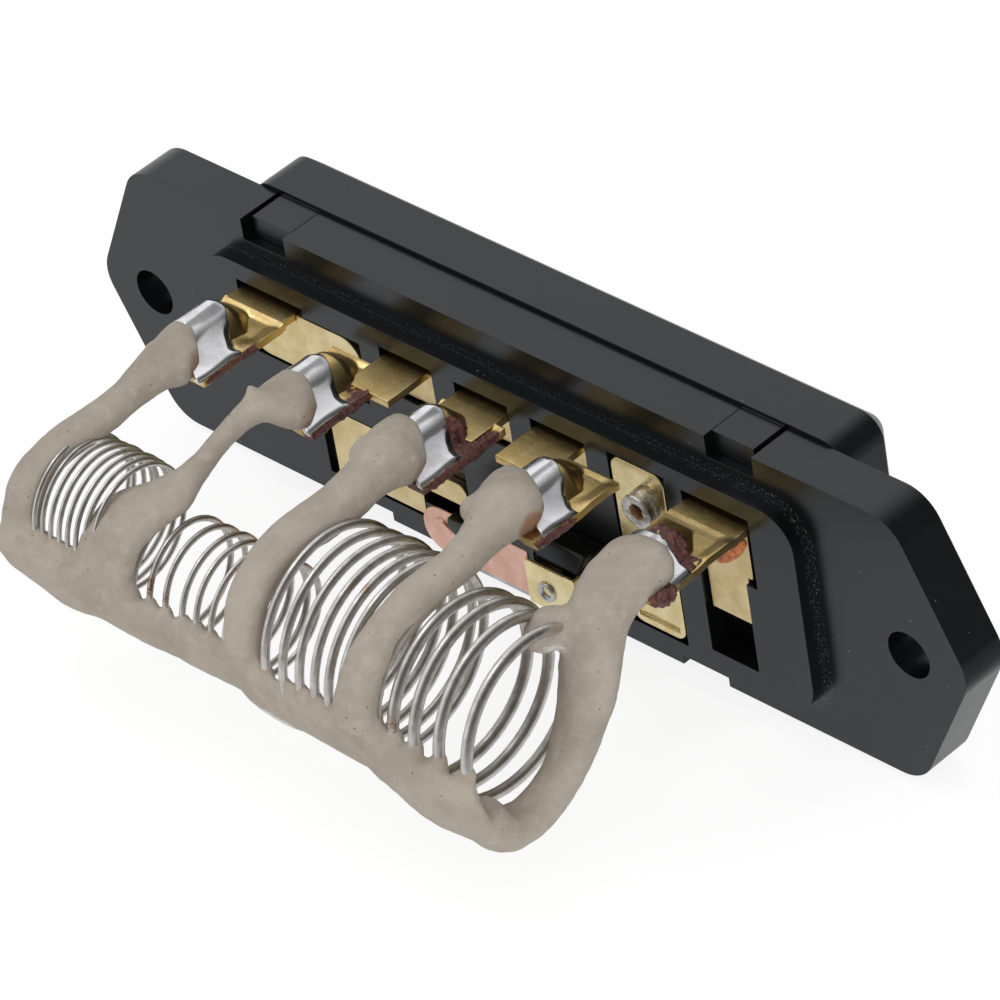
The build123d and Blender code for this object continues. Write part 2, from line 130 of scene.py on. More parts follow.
class Paint:
    """A material built from nodes, with the Principled shader at its end."""

    def __init__(self, name, **values):
        self.material = bpy.data.materials.new(name)
        self.material.use_nodes = True
        self.tree = self.material.node_tree
        self.shader = self.tree.nodes["Principled BSDF"]
        self.set(**values)
        point = self.add("ShaderNodeTexCoord", output="Object")
        self.place = self.add("ShaderNodeVectorMath", {0: point, "Scale": 1 / MM}, operation="SCALE")

    def add(self, kind, inputs=(), output=0, **settings):
        return add_node(self.tree, kind, inputs, output, **settings)

    def set(self, **values):
        """Sets sockets of the shader: plain values are stored, others are linked."""
        for key, value in values.items():
            name = key.replace("_", " ").title().replace("Ior", "IOR")
            feed(self.tree, self.shader.inputs[name], value)

    def axes(self):
        """X, Y and Z of the point, in millimetres."""
        split = self.add("ShaderNodeSeparateXYZ", (self.place,))
        return [split.twin(axis) for axis in "XYZ"]

    def stretched(self, x, y, z):
        """The point's place with each axis scaled, for grain that runs one way."""
        return self.add("ShaderNodeVectorMath", (self.place, (x, y, z)), operation="MULTIPLY")

    def noise(self, scale, detail, roughness=0.55, place=None):
        """Soft noise; scale is in features per millimetre."""
        inputs = {"Vector": place or self.place, "Scale": scale, "Detail": detail, "Roughness": roughness}
        return self.add("ShaderNodeTexNoise", inputs, "Fac")

    def specks(self, scale, size, share):
        """Small dots: the share of the cells that hold one, and its size in cells."""
        cells = self.add("ShaderNodeTexVoronoi", {"Vector": self.place, "Scale": scale}, "Distance")
        draw = self.add("ShaderNodeSeparateColor", (cells.twin("Color"),))
        return draw.math("LESS_THAN", share) * cells.math("LESS_THAN", draw.twin(1) * size)

    def spot(self, point, radius):
        """1 within a radius of a point, both in millimetres, and 0 beyond."""
        away = self.add("ShaderNodeVectorMath", (self.place, point), "Value", operation="DISTANCE")
        return 1.0 - away.step(0.6 * radius, 1.2 * radius)

    def painted(self, name):
        """A value stored on the mesh."""
        return self.add("ShaderNodeAttribute", output="Fac", attribute_name=name)

    def layers(self, colour, *coats):
        """A colour under coats, each given as its mask and its own colour."""
        for mask, coat in coats:
            colour = self.add("ShaderNodeMix", {0: mask, 6: colour, 7: coat}, 2, data_type="RGBA")
        return colour

    def bump(self, height, distance, **below):
        """Bump whose height of 1 stands for distance, in millimetres; below is another's Normal."""
        inputs = {"Height": height, "Distance": distance * MM, "Strength": 1.0, **below}
        return self.add("ShaderNodeBump", inputs)


# Materials

moulding_black = (0.0034, 0.0037, 0.004)


def make_plastic(name, tone, roughness):
    """Glossy black moulding with fine grain and dust specks."""
    paint = Paint(name, specular_ior_level=0.5, specular_tint=(0.84, 0.93, 1.0))
    grain = paint.noise(9, 4)
    cloud = paint.noise(0.12, 3)
    colour = paint.layers(
        tone,
        (cloud, np.multiply(tone, 1.35)),
        (paint.specks(1.1, 0.1, 0.12) * 0.5, (0.3, 0.3, 0.29)),
    )
    rough = cloud * 0.12 + (roughness - 0.06) + grain * 0.05
    paint.set(base_color=colour, roughness=rough, normal=paint.bump(grain, 0.006))
    return paint


def make_flange_plastic():
    """The flange's moulding, with the line of pale dust round the pad's foot."""
    paint = make_plastic("flange_plastic", moulding_black, 0.22)
    x, y, z = paint.axes()
    # Signed distance to the pad's rounded outline
    middle_x, middle_z, half_x, half_z, corner = -0.35, -0.45, 36.95, 11.1, 3.6
    out_x = abs(x - middle_x) - (half_x - corner)
    out_z = abs(z - middle_z) - (half_z - corner)
    far_x = out_x.math("MAXIMUM", 0)
    far_z = out_z.math("MAXIMUM", 0)
    inner = out_x.math("MAXIMUM", out_z).math("MINIMUM", 0)
    distance = (far_x * far_x + far_z * far_z).math("SQRT") + inner - corner
    band = 1.0 - abs(distance - 0.45).step(0.1, 0.75)
    front = abs(y).math("LESS_THAN", 0.5)
    right = x.step(20, 36).blend(0.45, 1.0)
    crumbs = paint.noise(3.6, 5, 0.75).step(0.52, 0.68)
    dust = band * front * crumbs * (right * 0.42)
    moulding = Value(paint.tree, paint.shader.inputs["Base Color"].links[0].from_socket)
    paint.set(base_color=paint.layers(moulding, (dust, (0.42, 0.42, 0.4))))
    return paint


def make_brass(name, tint, roughness, pitting=0.5, marks=(), grain=0.012):
    """Brass strip, rolled along Y, with tarnish; heat and flux stains come from the mesh."""
    paint = Paint(name, metallic=1.0)
    rolled = paint.noise(2.2, 4, 0.6, paint.stretched(1, 0.12, 1))
    cloud = paint.noise(0.4, 4, 0.6)
    fine = paint.noise(2.6, 5, 0.7)
    warm = paint.painted("heat") + (fine - 0.5) * 1.15
    crust = (paint.painted("flux") + (fine - 0.5) * 0.8).step(0.42, 0.58)
    crust_light = (paint.noise(1.9, 4, 0.7).step(0.35, 0.65), (0.17, 0.065, 0.05))
    colour = paint.layers(
        tint,
        (cloud.step(0.3, 0.7), np.multiply(tint, (0.8, 0.74, 0.62))),
        (warm.step(0.25, 0.6), (0.55, 0.33, 0.085)),
        (warm.step(0.62, 0.85), (0.33, 0.14, 0.05)),
        (paint.specks(1.5, 0.16, 0.3) * pitting, (0.16, 0.09, 0.03)),
        *((paint.spot(point, radius) * 0.85, (0.05, 0.035, 0.02)) for point, radius in marks),
        (crust, paint.layers((0.05, 0.018, 0.014), crust_light)),
    )
    rough = crust.blend(fine * 0.2 + (roughness - 0.1), 0.32)
    paint.set(base_color=colour, roughness=rough, metallic=1.0 - crust)
    paint.set(normal=paint.bump(fine, grain, Normal=paint.bump(rolled, 0.012)))
    return paint


def make_cement():
    """Fired grey-beige cement: matt, faintly mottled, pored, stained near the metal."""
    paint = Paint("cement", specular_ior_level=0.3)
    cloud = paint.noise(0.16, 4, 0.6)
    mottle = paint.noise(0.9, 4, 0.65)
    grain = paint.noise(5.5, 4, 0.7)
    stain = paint.painted("stain") + (mottle - 0.5) * 0.5
    wet = (paint.painted("glaze") + (paint.noise(1.1, 4, 0.7) - 0.5) * 1.1).step(0.4, 0.65)
    colour = paint.layers(
        (0.415, 0.367, 0.307),
        (cloud.step(0.3, 0.72), (0.345, 0.305, 0.255)),
        (mottle.step(0.45, 0.8), (0.445, 0.4, 0.34)),
        (paint.specks(1.5, 0.15, 0.3) * 0.85, (0.07, 0.052, 0.036)),
        (paint.specks(3.4, 0.24, 0.34) * 0.5, (0.21, 0.175, 0.135)),
        (stain.step(0.25, 0.9) * 0.75, (0.24, 0.105, 0.035)),
        (paint.painted("shade") * 0.45, (0.23, 0.2, 0.162)),
        (wet * 0.7, (0.66, 0.65, 0.62)),
    )
    paint.set(base_color=colour, roughness=wet.blend(grain * 0.2 + 0.62, 0.22))
    paint.set(normal=paint.bump(grain, 0.03, Normal=paint.bump(mottle, 0.1)))
    return paint


def make_wire():
    """Bare resistance wire, drawn and satin, frosted white where it enters the cement."""
    paint = Paint("resistance_wire", metallic=1.0)
    cloud = paint.noise(0.7, 4, 0.6)
    fine = paint.noise(4, 4, 0.7)
    white = paint.painted("frost") * paint.noise(1.3, 4, 0.7).step(0.3, 0.6)
    colour = paint.layers(
        (0.72, 0.7, 0.67),
        (cloud.step(0.35, 0.7), (0.52, 0.495, 0.46)),
        (paint.painted("burn") * fine.step(0.3, 0.6), (0.3, 0.13, 0.04)),
        (white * 0.45, (0.6, 0.59, 0.57)),
    )
    paint.set(base_color=colour, roughness=white.blend(cloud * 0.16 + 0.27, 0.45))
    paint.set(metallic=white.blend(1.0, 0.7), normal=paint.bump(fine, 0.012))
    return paint


def make_solder(name, shine, dark, roughness, pits):
    """Bright tin solder, duller in patches, with brown flux at its rim."""
    paint = Paint(name, metallic=1.0)
    fine = paint.noise(3.5, 4, 0.7)
    dull = paint.noise(0.45, 3, 0.6).step(0.48, 0.6)
    brown = (paint.painted("rim") + (paint.noise(2.2, 5, 0.75) - 0.5)).step(0.62, 0.82)
    paint.set(
        base_color=paint.layers(shine, (dull, dark), (brown, (0.2, 0.09, 0.035))),
        roughness=dull * 0.1 + roughness + fine * 0.08,
        metallic=1.0 - brown * 0.8,
        normal=paint.bump(fine, pits),
    )
    return paint


def make_flux(name, dark, light):
    """Lumps of burnt flux, glassy in places."""
    paint = Paint(name, metallic=0.0, specular_ior_level=0.6)
    clots = paint.noise(1.7, 5, 0.75)
    glass = paint.noise(2.3, 3, 0.6).step(0.5, 0.62)
    ash = paint.noise(3.1, 4, 0.7).step(0.62, 0.7) * 0.6
    colour = paint.layers(dark, (clots.step(0.35, 0.6), light), (ash, (0.36, 0.3, 0.27)))
    paint.set(base_color=colour, roughness=glass.blend(0.5, 0.12), normal=paint.bump(clots, 0.3))
    return paint


def make_strip(name, tint, shade, roughness):
    """Plain metal strip for the cut-out's leaves and eyelet, with clouds and fine lines."""
    paint = Paint(name, metallic=1.0)
    lines = paint.noise(3, 4, 0.6, paint.stretched(0.1, 1, 1))
    cloud = paint.noise(0.45, 4, 0.6).step(0.35, 0.7)
    pits = paint.specks(1.4, 0.14, 0.2) * 0.6
    colour = paint.layers(tint, (cloud, shade), (pits, np.multiply(shade, 0.4)))
    rough = paint.noise(3.5, 4, 0.7) * 0.16 + roughness
    paint.set(base_color=colour, roughness=rough, normal=paint.bump(lines, 0.01))
    return paint


plastic = make_plastic("housing_plastic", moulding_black, 0.24)
flange_plastic = make_flange_plastic()
block_plastic = make_plastic("block_plastic", (0.004, 0.0036, 0.0032), 0.14)
tab_brass = make_brass("tab_brass", (0.78, 0.6, 0.28), 0.33, grain=0.03)
plate_brass = make_brass("plate_brass", (0.82, 0.68, 0.4), 0.34, 0.3)
bright_brass = make_brass("bright_brass", (0.95, 0.83, 0.5), 0.28, 0.3)
dotted_brass = make_brass(
    "dotted_brass", (0.88, 0.75, 0.45), 0.34, 0.4,
    (((-28.1, -1.0, 4.75), 0.24), ((-26.9, -1.0, 4.75), 0.15), ((-20.4, -1.0, 4.4), 0.12)),
)
cement_paint = make_cement()
wire_paint = make_wire()
solder_paint = make_solder("solder", (0.84, 0.84, 0.86), (0.74, 0.74, 0.75), 0.13, 0.006)
rivet_paint = make_solder("old_tin", (0.68, 0.67, 0.66), (0.36, 0.34, 0.31), 0.2, 0.09)
flux_paint = make_flux("flux", (0.045, 0.015, 0.013), (0.165, 0.06, 0.05))
amber_paint = make_flux("amber_flux", (0.32, 0.055, 0.012), (0.72, 0.22, 0.05))
copper_paint = make_strip("copper", (0.86, 0.56, 0.46), (0.72, 0.42, 0.32), 0.3)
steel_paint = make_strip("spring_steel", (0.64, 0.64, 0.64), (0.42, 0.42, 0.42), 0.24)


# Mesh helpers

def place_object(name, data):
    """A new object at the origin, in the scene."""
    obj = bpy.data.objects.new(name, data)
    bpy.context.collection.objects.link(obj)
    return obj


def finish_object(name, mesh, paint):
    mesh.materials.append(paint.material)
    mesh.shade_smooth()
    mesh.update()
    return place_object(name, mesh)


def add_object(name, points, faces, paint):
    """A new smooth-shaded object from points in millimetres."""
    mesh = bpy.data.meshes.new(name)
    mesh.from_pydata([tuple(value * MM for value in point) for point in points], [], faces)
    return finish_object(name, mesh, paint)


def modify(obj, kind, **settings):
    """Adds a modifier with its settings."""
    modifier = obj.modifiers.new(kind.lower(), kind)
    for key, value in settings.items():
        setattr(modifier, key, value)
    return modifier


def apply_modifiers(obj, smooth=True):
    """Bakes the modifiers into the object's own mesh."""
    graph = bpy.context.evaluated_depsgraph_get()
    mesh = bpy.data.meshes.new_from_object(obj.evaluated_get(graph))
    obj.modifiers.clear()
    before = obj.data
    obj.data = mesh
    bpy.data.meshes.remove(before)
    if smooth:
        mesh.shade_smooth()
    return obj


def triples(items, field):
    """A field of three numbers of each item, as rows."""
    values = np.empty(len(items) * 3)
    items.foreach_get(field, values)
    return values.reshape(-1, 3)


def points_of(mesh):
    return triples(mesh.vertices, "co") / MM


def move_points(mesh, points):
    mesh.vertices.foreach_set("co", (points * MM).ravel())
    mesh.update()


def store(mesh, **layers):
    """Stores one value a point in each layer, for a material to read."""
    for name, values in layers.items():
        layer = mesh.attributes.new(name, "FLOAT", "POINT")
        layer.data.foreach_set("value", np.asarray(values, dtype=np.float32))


def sharpen(obj):
    """Keeps hard edges hard and lets large flat faces shade flat beside rounded ones."""
    obj.data.set_sharp_from_angle(angle=math.radians(35))
    modify(obj, "WEIGHTED_NORMAL", keep_sharp=True, weight=100)
    apply_modifiers(obj, smooth=False)


@contextlib.contextmanager
def opened(obj):
    """The object's mesh, open for work on its faces and edges."""
    work = bmesh.new()
    work.from_mesh(obj.data)
    yield work
    work.to_mesh(obj.data)
    work.free()


def soften(obj, width, degrees=30):
    """Rounds the edges sharper than an angle, as a moulding or a stamping has them."""
    with opened(obj) as work:
        bmesh.ops.remove_doubles(work, verts=work.verts, dist=0.002 * MM)
        bmesh.ops.dissolve_limit(work, angle_limit=math.radians(1), verts=work.verts, edges=work.edges)
    angle = math.radians(degrees)
    modify(obj, "BEVEL", width=width * MM, segments=2, limit_method="ANGLE", angle_limit=angle)
    apply_modifiers(obj)


def face_outwards(obj):
    with opened(obj) as work:
        bmesh.ops.recalc_face_normals(work, faces=work.faces)


def copy_node(node, name, width, paint):
    """A piece with the solid's shape and rounded edges, in place of the node."""
    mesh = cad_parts[node].data.copy()
    mesh.materials.clear()
    obj = finish_object(name, mesh, paint)
    soften(obj, width)
    sharpen(obj)
    return obj


def join(name, *objects):
    """One object from several, keeping their materials and stored values."""
    materials = []
    layers = set()
    for obj in objects:
        materials += [material for material in obj.data.materials if material not in materials]
        for layer in obj.data.attributes:
            if layer.data_type == "FLOAT" and layer.domain == "POINT":
                layers.add(layer.name)
    work = bmesh.new()
    for obj in objects:
        for layer in sorted(layers):
            if layer not in obj.data.attributes:
                store(obj.data, **{layer: np.zeros(len(obj.data.vertices))})
        first = len(work.faces)
        work.from_mesh(obj.data)
        work.faces.ensure_lookup_table()
        for face in work.faces[first:]:
            face.material_index = materials.index(obj.data.materials[face.material_index])
    mesh = bpy.data.meshes.new(name)
    work.to_mesh(mesh)
    work.free()
    for obj in objects:
        bpy.data.objects.remove(obj)
    for material in materials:
        mesh.materials.append(material)
    return place_object(name, mesh)


def smooth_path(points, per_span):
    """A Catmull-Rom line through rows of numbers."""
    rows = np.array([points[0], *points, points[-1]], dtype=float)
    result = []
    for index in range(1, len(rows) - 2):
        before, start, end, after = rows[index - 1 : index + 3]
        for step in range(per_span):
            t = step / per_span
            square = (2 * before - 5 * start + 4 * end - after) * t * t
            cube = (3 * start - before - 3 * end + after) * t**3
            result.append(0.5 * (2 * start + (end - before) * t + square + cube))
    result.append(rows[-2])
    return np.array(result)


def circle(count):
    """The cosine and sine of each corner round a circle."""
    angles = [2 * math.pi * corner / count for corner in range(count)]
    return [(math.cos(angle), math.sin(angle)) for angle in angles]


def ring_faces(rings, around, closed=False):
    """Quads between rings of points, which end in caps or close on themselves."""
    faces = []
    for ring in range(rings if closed else rings - 1):
        here = ring * around
        there = (ring + 1) % rings * around
        for corner in range(around):
            following = (corner + 1) % around
            faces.append((here + corner, here + following, there + following, there + corner))
    if not closed:
        faces.append(tuple(range(around - 1, -1, -1)))
        faces.append(tuple(range((rings - 1) * around, rings * around)))
    return faces


def tangents_of(places):
    tangents = np.gradient(places, axis=0)
    return tangents / np.linalg.norm(tangents, axis=1)[:, None]


def tube_points(path, radius, around):
    """Rings of a round tube along a path of points; the radius may differ at each."""
    path = np.array(path, dtype=float)
    tangents = tangents_of(path)
    side = np.cross(tangents[0], (0.3, 0.2, 1.0))
    points = []
    for place, tangent, size in zip(path, tangents, np.broadcast_to(radius, len(path))):
        side = side - tangent * np.dot(side, tangent)
        side /= np.linalg.norm(side)
        up = np.cross(tangent, side)
        points += [place + size * (across * side + along * up) for across, along in circle(around)]
    return points


def add_tube(name, path, radius, around, paint):
    return add_object(name, tube_points(path, radius, around), ring_faces(len(path), around), paint)


def ramp(values, low, high):
    """0 up to low, 1 from high on, smooth between them."""
    share = np.clip((np.asarray(values, dtype=float) - low) / (high - low), 0, 1)
    return share * share * (3 - 2 * share)


def fractal(x, y, z, fineness=1.0, octaves=3, step=2.0):
    """Fractal noise between about -1 and 1."""
    return noise.fractal(Vector((x, y, z)), fineness, step, octaves)


def lumps(points, size, seed):
    """Fractal noise at each point, with features of a size."""
    shift = Vector((seed * 7.3, seed * 3.1, seed * 5.7))
    return np.array([fractal(*(Vector(point) / size + shift)) for point in points])


def mark(points, place, reach, core, strength=1.0, stretch=1.0):
    """A round mark: its strength within core of a place, fading to 0 at reach."""
    away = np.linalg.norm((points - place) * stretch, axis=1)
    return ramp(away, reach, core) * strength


# Sizes of the terminals, shared with the solids, but for the first and the last base,
# which end a little short of the solids' front edge

shelf_top = 7.7
strip = 0.8
tab_x = (-29.0, -14.9, -0.8, 13.3, 27.4)
base_x = (-29.0, -11.3, -1.2, 8.0, 27.4)
base_width = (7.4, 5.4, 6.4, 5.8, 7.6)
base_front = (-3.3, -6.3, -6.3, -6.5, -3.3)
window_x = (-28.5, -10.85, -1.25, 8.3, 27.4)
blade_width = 6.3
blade_end = 9.6
tab_half = 3.9
tab_front = -13.6

coil_sizes = {
    "Start X": (-30.6, -17.7, -0.4, 15.4),
    "Pitch": (1.1, 2.27, 2.5, 1.95),
    "Spread": (0.0, -0.045, -0.08, 0.19),
    "Lean": (0.35, 0.2, 0.0, 0.0),
    "Wobble": (0.07, 0.16, 0.1, 0.08),
    "Phase": (0.0, 1.0, 2.0, 3.0),
    "Centre Y": (-26.6, -26.8, -25.2, -25.2),
    "Centre Z": (0.5, -2.1, -0.1, -0.7),
    "Coil Radius": (6.3, 5.65, 9.2, 9.0),
    "Turns": (8.333, 7.333, 6.333, 4.417),
    "Wire Radius": (0.25, 0.3, 0.425, 0.55),
}
# The same sizes coil by coil
coil_rows = [dict(zip(coil_sizes, row)) for row in zip(*coil_sizes.values())]
wire_radius = coil_sizes["Wire Radius"]


# Coils: Geometry Nodes bends a line into the helix and gives it its wire

def sine(value):
    """The sine of a number or of a node tree's value; the same goes for cosine."""
    return value.math("SINE") if isinstance(value, Value) else math.sin(value)


def cosine(value):
    return value.math("COSINE") if isinstance(value, Value) else math.cos(value)


def helix_place(size, turn):
    """X, Y and Z of a wire; a turn starts at the top and goes down the front."""
    angle = turn * (2 * math.pi)
    sway = sine(angle * 0.37 + size["Phase"]) + sine(angle * 1.62 + size["Phase"] * 2) * 0.6
    x = size["Start X"] + size["Pitch"] * turn + size["Spread"] * (turn * turn)
    x = x + size["Lean"] * sine(angle) + size["Wobble"] * sway
    radius = size["Coil Radius"] * (sway * 0.012 + 1.0)
    return x, size["Centre Y"] - radius * sine(angle), size["Centre Z"] + radius * cosine(angle)


def helix_tree():
    """The node group: its inputs are a coil's sizes by name, its steps and its material."""
    tree = bpy.data.node_groups.new("wire_helix", "GeometryNodeTree")
    kinds = dict.fromkeys(("Geometry", *coil_sizes, "Steps", "Material"), "Float")
    kinds.update(Geometry="Geometry", Steps="Int", Material="Material")
    for name, kind in kinds.items():
        tree.interface.new_socket(name, in_out="INPUT", socket_type="NodeSocket" + kind)
    tree.interface.new_socket("Geometry", in_out="OUTPUT", socket_type="NodeSocketGeometry")
    group = add_node(tree, "NodeGroupInput")
    given = {name: group.twin(name) for name in kinds}
    line = add_node(tree, "GeometryNodeCurvePrimitiveLine")
    line = add_node(tree, "GeometryNodeResampleCurve", {"Curve": line, "Count": given["Steps"]})
    turn = add_node(tree, "GeometryNodeSplineParameter", output="Factor") * given["Turns"]
    place = add_node(tree, "ShaderNodeCombineXYZ", helix_place(given, turn))
    place = add_node(tree, "ShaderNodeVectorMath", {0: place, "Scale": MM}, operation="SCALE")
    line = add_node(tree, "GeometryNodeSetPosition", {"Geometry": line, "Position": place})
    section = {"Resolution": 14, "Radius": given["Wire Radius"] * MM}
    section = add_node(tree, "GeometryNodeCurvePrimitiveCircle", section)
    wire = {"Curve": line, "Profile Curve": section, "Fill Caps": True}
    wire = add_node(tree, "GeometryNodeCurveToMesh", wire)
    wire = add_node(tree, "GeometryNodeRealizeInstances", (wire,))
    wire = add_node(tree, "GeometryNodeSetMaterial", {"Geometry": wire, "Material": given["Material"]})
    feed(tree, tree.nodes.new("NodeGroupOutput").inputs[0], wire)
    return tree


# Lead ways inside the cement, from the first tab to the coil and from the coil to the next tab
lead_ways = (
    ((-28.3, -8.0, 8.1), (-28.2, -15.5, 8.2), (-28.4, -19.6, 8.0), (-29.4, -23.5, 7.2)),
    ((-15.0, -8.0, 8.1), (-15.2, -16.2, 9.9), (-16.5, -19.4, 8.4), (-17.5, -22.6, 6.2)),
    ((-0.1, -8.0, 8.2), (-0.1, -16.5, 8.7), (-0.3, -20.5, 8.9), (-0.5, -23.5, 9.2)),
    ((14.0, -8.0, 8.2), (14.2, -16.5, 9.0), (14.6, -20.7, 9.0), (14.9, -23.6, 8.6)),
)
return_ways = (
    (
        (-20.7, -31.6, 0.8), (-20.7, -29.8, 3.6), (-19.8, -27.4, 4.7),
        (-17.9, -22.8, 6.3), (-15.6, -16.2, 10.1), (-15.4, -8.0, 8.1),
    ),
    (
        (-2.2, -33.0, 3.2), (-2.2, -31.0, 6.0), (-2.2, -28.4, 7.9),
        (-2.0, -24.7, 8.6), (-1.6, -17.0, 8.8), (-1.5, -8.0, 8.2),
    ),
    (
        (13.4, -33.8, 3.0), (13.5, -31.6, 5.9), (13.5, -28.6, 7.7),
        (13.4, -24.6, 8.9), (12.8, -17.0, 9.1), (12.6, -8.0, 8.2),
    ),
    (
        (27.5, -27.2, -8.9), (27.4, -22.6, -6.4), (27.5, -20.0, -1.6),
        (27.7, -18.8, 2.6), (27.6, -16.8, 6.3), (27.4, -8.0, 8.2),
    ),
)

# Scorched spots on the wires: place and reach
burn_spots = (
    (),
    (((-15.2, -32.0, 0.6), 1.6), ((-13.4, -31.8, 0.2), 1.3)),
    (((0.6, -33.6, 2.8), 1.8), ((9.6, -27.5, 8.8), 1.4)),
    (((17.6, -33.9, 1.8), 1.5),),
)

steps_per_turn = 60
helix = helix_tree()
coils = []
for index, size in enumerate(coil_rows):
    coil = place_object("coil", bpy.data.meshes.new("blank"))
    modifier = modify(coil, "NODES", node_group=helix)
    settings = {**size, "Steps": int(size["Turns"] * steps_per_turn), "Material": wire_paint.material}
    for item in helix.interface.items_tree:
        if item.item_type == "SOCKET" and item.name in settings:
            modifier[item.identifier] = settings[item.name]
    apply_modifiers(coil)
    first_way = (*lead_ways[index], helix_place(size, 0.0))
    last_way = (helix_place(size, size["Turns"]), *return_ways[index])
    leads = []
    for way in (first_way, last_way):
        leads.append(add_tube("lead", smooth_path(way, 8), size["Wire Radius"], 10, wire_paint))
    coil = join("wire_coil_" + str(index + 1), coil, *leads)
    points = points_of(coil.data)
    # Frost on the lower front of each turn, where it meets the cement
    level = np.degrees(np.arctan2(points[:, 2] - size["Centre Z"], size["Centre Y"] - points[:, 1]))
    frost = ramp(level, 34, 12) * ramp(level, -80, -60)
    frost *= ramp(lumps(points, 3.0, index), -0.2, 0.5) * (0.9 if index > 1 else 0.4)
    burn = [mark(points, spot, reach, reach * 0.4) for spot, reach in burn_spots[index]]
    store(coil.data, frost=frost, burn=np.max([np.zeros(len(points)), *burn], axis=0))
    coil.data.shade_smooth()
    coils.append(coil)


# Cement: strands and spine as overlapping tubes, made one by a voxel remesh

# Strands, from the tab to the spine: the centre's place, half the width, half the thickness
strand_paths = (
    (
        (-29.0, -10.8, 8.2, 2.3, 1.5),
        (-29.2, -12.0, 8.5, 3.3, 1.9),
        (-29.1, -13.3, 8.5, 3.2, 2.0),
        (-28.9, -15.6, 8.7, 2.3, 1.9),
        (-28.9, -19.6, 8.2, 1.55, 1.5),
        (-29.8, -22.6, 7.1, 1.8, 1.6),
        (-30.8, -27.0, 6.1, 1.75, 1.6),
        (-31.3, -30.4, 4.4, 1.8, 1.7),
        (-31.3, -32.2, 1.4, 1.9, 1.7),
        (-31.3, -32.8, -1.6, 2.1, 1.7),
    ),
    (
        (-14.8, -9.8, 8.4, 2.2, 1.4),
        (-14.8, -11.2, 8.6, 3.2, 1.9),
        (-15.1, -13.2, 9.2, 2.9, 1.8),
        (-15.4, -16.2, 10.1, 1.6, 1.2),
        (-16.6, -19.4, 8.4, 1.15, 1.1),
        (-17.5, -22.4, 6.4, 1.35, 1.15),
        (-18.2, -25.4, 5.2, 2.6, 1.35),
        (-19.6, -28.0, 4.6, 3.4, 1.5),
        (-20.2, -30.6, 3.2, 3.3, 1.8),
        (-20.2, -32.3, 0.8, 3.2, 1.9),
        (-20.2, -32.6, -1.8, 3.2, 1.9),
    ),
    (
        (-0.9, -9.8, 8.5, 2.4, 1.6),
        (-1.2, -11.2, 8.8, 3.5, 2.2),
        (-1.2, -13.6, 9.3, 3.2, 2.4),
        (-0.9, -16.8, 9.0, 2.3, 2.1),
        (-0.8, -20.5, 8.5, 2.1, 2.0),
        (-1.0, -24.7, 8.4, 2.1, 2.0),
        (-1.2, -28.4, 7.8, 1.9, 1.9),
        (-1.1, -31.5, 6.0, 1.8, 1.9),
        (-1.0, -33.0, 3.2, 1.8, 1.9),
        (-1.0, -33.4, 0.0, 1.9, 1.9),
    ),
    (
        (12.9, -9.3, 8.7, 2.4, 1.6),
        (12.5, -10.7, 8.9, 3.5, 2.3),
        (12.5, -13.3, 9.1, 3.2, 2.4),
        (13.6, -16.8, 9.0, 2.1, 1.9),
        (14.4, -20.7, 9.0, 1.7, 1.8),
        (14.4, -24.6, 8.9, 1.7, 1.8),
        (14.2, -28.6, 7.7, 1.9, 1.9),
        (14.2, -31.9, 5.9, 2.0, 1.9),
        (14.2, -34.0, 3.0, 2.1, 1.9),
        (14.2, -34.6, 0.2, 2.3, 1.9),
    ),
    (
        (27.5, -9.7, 8.3, 2.6, 1.6),
        (27.3, -10.9, 8.5, 3.5, 2.3),
        (27.3, -14.6, 8.0, 3.1, 2.5),
        (27.7, -17.4, 6.3, 3.0, 2.3),
        (27.7, -19.0, 2.6, 3.1, 2.2),
        (27.4, -20.2, -1.6, 2.6, 2.1),
        (27.0, -23.0, -6.3, 2.0, 1.8),
        (26.8, -27.2, -8.8, 2.1, 1.7),
        (26.8, -31.4, -7.9, 2.2, 1.9),
        (26.8, -33.2, -4.8, 2.1, 1.9),
    ),
)
# How far each strand's head is cut aslant
strand_slants = (0.7, 0.6, 0.6, 0.42, 0.0)

# Spine: x, the centre it goes round, its inner and outer radius, its upper and lower angle
spine_stations = (
    (-33.4, -26.6, 0.5, 6.3, 7.7, -4, -56),
    (-32.6, -26.6, 0.5, 6.0, 8.3, 3, -62),
    (-29.0, -26.6, 0.5, 6.0, 8.6, 3, -66),
    (-24.5, -26.6, 0.4, 5.9, 9.1, 3, -72),
    (-21.0, -26.6, 0.2, 5.6, 8.5, 8, -66),
    (-17.6, -26.8, -1.6, 5.2, 7.3, 10, -66),
    (-10.5, -26.8, -2.1, 5.1, 6.9, 10, -66),
    (-3.8, -26.6, -1.8, 5.5, 7.3, 10, -66),
    (0.4, -25.4, -0.4, 8.4, 9.9, 5, -66),
    (6.0, -25.2, -0.1, 8.5, 10.05, 3, -66),
    (12.8, -25.2, -0.1, 8.5, 10.1, 3, -66),
    (15.8, -25.2, -0.6, 8.5, 10.55, 6, -66),
    (21.0, -25.2, -0.7, 8.6, 11.4, 7, -77),
    (25.6, -25.2, -0.7, 8.5, 11.2, 6, -74),
    (27.9, -25.2, -0.7, 8.7, 10.3, 0, -72),
    (28.7, -25.2, -0.7, 9.2, 10.0, -12, -66),
)

# Where the collars sit on each coil's wires, in degrees above the front
collar_levels = (3, 10, 4, 8)

